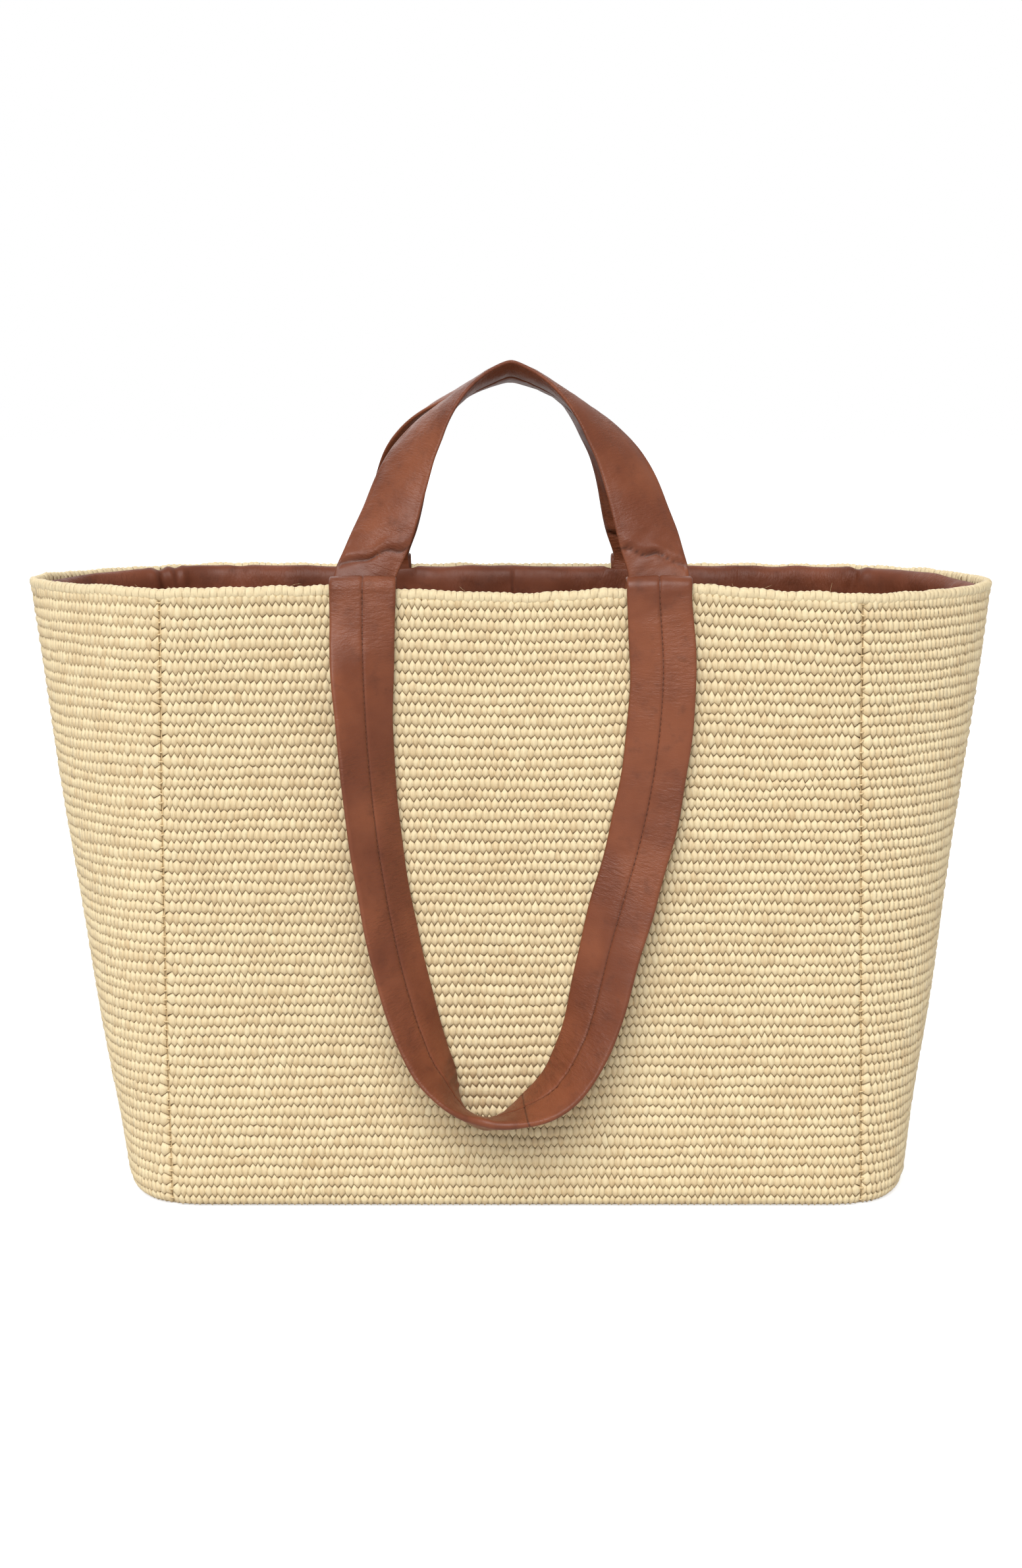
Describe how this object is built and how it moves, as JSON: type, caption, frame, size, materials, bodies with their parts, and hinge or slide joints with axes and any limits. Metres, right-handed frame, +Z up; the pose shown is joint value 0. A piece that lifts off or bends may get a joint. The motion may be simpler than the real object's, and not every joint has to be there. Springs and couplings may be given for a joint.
{
  "type": "beach bag",
  "caption": "Large open straw tote with leather-faced rim, two short padded leather handles and two long leather shoulder straps.",
  "frame": {"origin": "middle of the underside of the base, on the floor", "axes": "+X right along the long side, +Y from the front wall to the back wall, +Z up"},
  "size_m": [0.5, 0.2414, 0.4213],
  "materials": {
    "straw": "woven raffia straw, satin",
    "straw_thread": "raffia cord",
    "tan_leather": "soft smooth nappa, low sheen",
    "facing_leather": "soft smooth nappa, low sheen",
    "leather_thread": "waxed thread",
    "foam": "soft wadding",
    "lining_cloth": "plain cotton",
    "base_board": "matte"
  },
  "bodies": {
    "bag": {"front_panel": "straw", "back_panel": "straw", "left_side_panel": "straw", "right_side_panel": "straw", "base_panel": "straw", "panel_seam_threads": "straw_thread", "base_seam_thread": "straw_thread", "front_facing": "facing_leather", "back_facing": "facing_leather", "left_facing": "facing_leather", "right_facing": "facing_leather", "front_padding": "foam", "back_padding": "foam", "left_padding": "foam", "right_padding": "foam", "front_lining": "lining_cloth", "back_lining": "lining_cloth", "left_lining": "lining_cloth", "right_lining": "lining_cloth", "base_lining": "lining_cloth", "base_board": "base_board", "front_left_strap_end": "tan_leather", "front_right_strap_end": "tan_leather", "back_left_strap_end": "tan_leather", "back_right_strap_end": "tan_leather", "front_strap_folds": "tan_leather", "back_strap_folds": "tan_leather", "front_left_handle_end": "tan_leather", "front_right_handle_end": "tan_leather", "back_left_handle_end": "tan_leather", "back_right_handle_end": "tan_leather", "end_stitching": "leather_thread"},
    "front_handle": {"front_handle_cover": "tan_leather", "front_handle_core": "foam", "front_handle_stitching": "leather_thread"},
    "back_handle": {"back_handle_cover": "tan_leather", "back_handle_core": "foam", "back_handle_stitching": "leather_thread"},
    "front_strap": {"front_strap_left": "tan_leather", "front_strap_right": "tan_leather", "front_strap_left_core": "foam", "front_strap_right_core": "foam", "front_strap_stitching": "leather_thread"},
    "back_strap": {"back_strap_left": "tan_leather", "back_strap_right": "tan_leather", "back_strap_left_core": "foam", "back_strap_right_core": "foam", "back_strap_stitching": "leather_thread"}
  },
  "joints": [
    {"name": "front_handle_hinge", "type": "hinge", "parent": "bag", "child": "front_handle", "pos_m": [0, -0.0782, 0.315], "axis": [-1, 0, 0], "range_deg": [-10, 16]},
    {"name": "back_handle_hinge", "type": "hinge", "parent": "bag", "child": "back_handle", "pos_m": [0, 0.0782, 0.315], "axis": [1, 0, 0], "range_deg": [-10, 16]},
    {"name": "front_strap_hinge", "type": "hinge", "parent": "bag", "child": "front_strap", "pos_m": [0, -0.08605, 0.31225], "axis": [-1, 0, 0], "range_deg": [0, 172], "deforming": ["front_strap_folds"]},
    {"name": "back_strap_hinge", "type": "hinge", "parent": "bag", "child": "back_strap", "pos_m": [0, 0.08605, 0.31225], "axis": [1, 0, 0], "range_deg": [0, 172], "deforming": ["back_strap_folds"]}
  ]
}
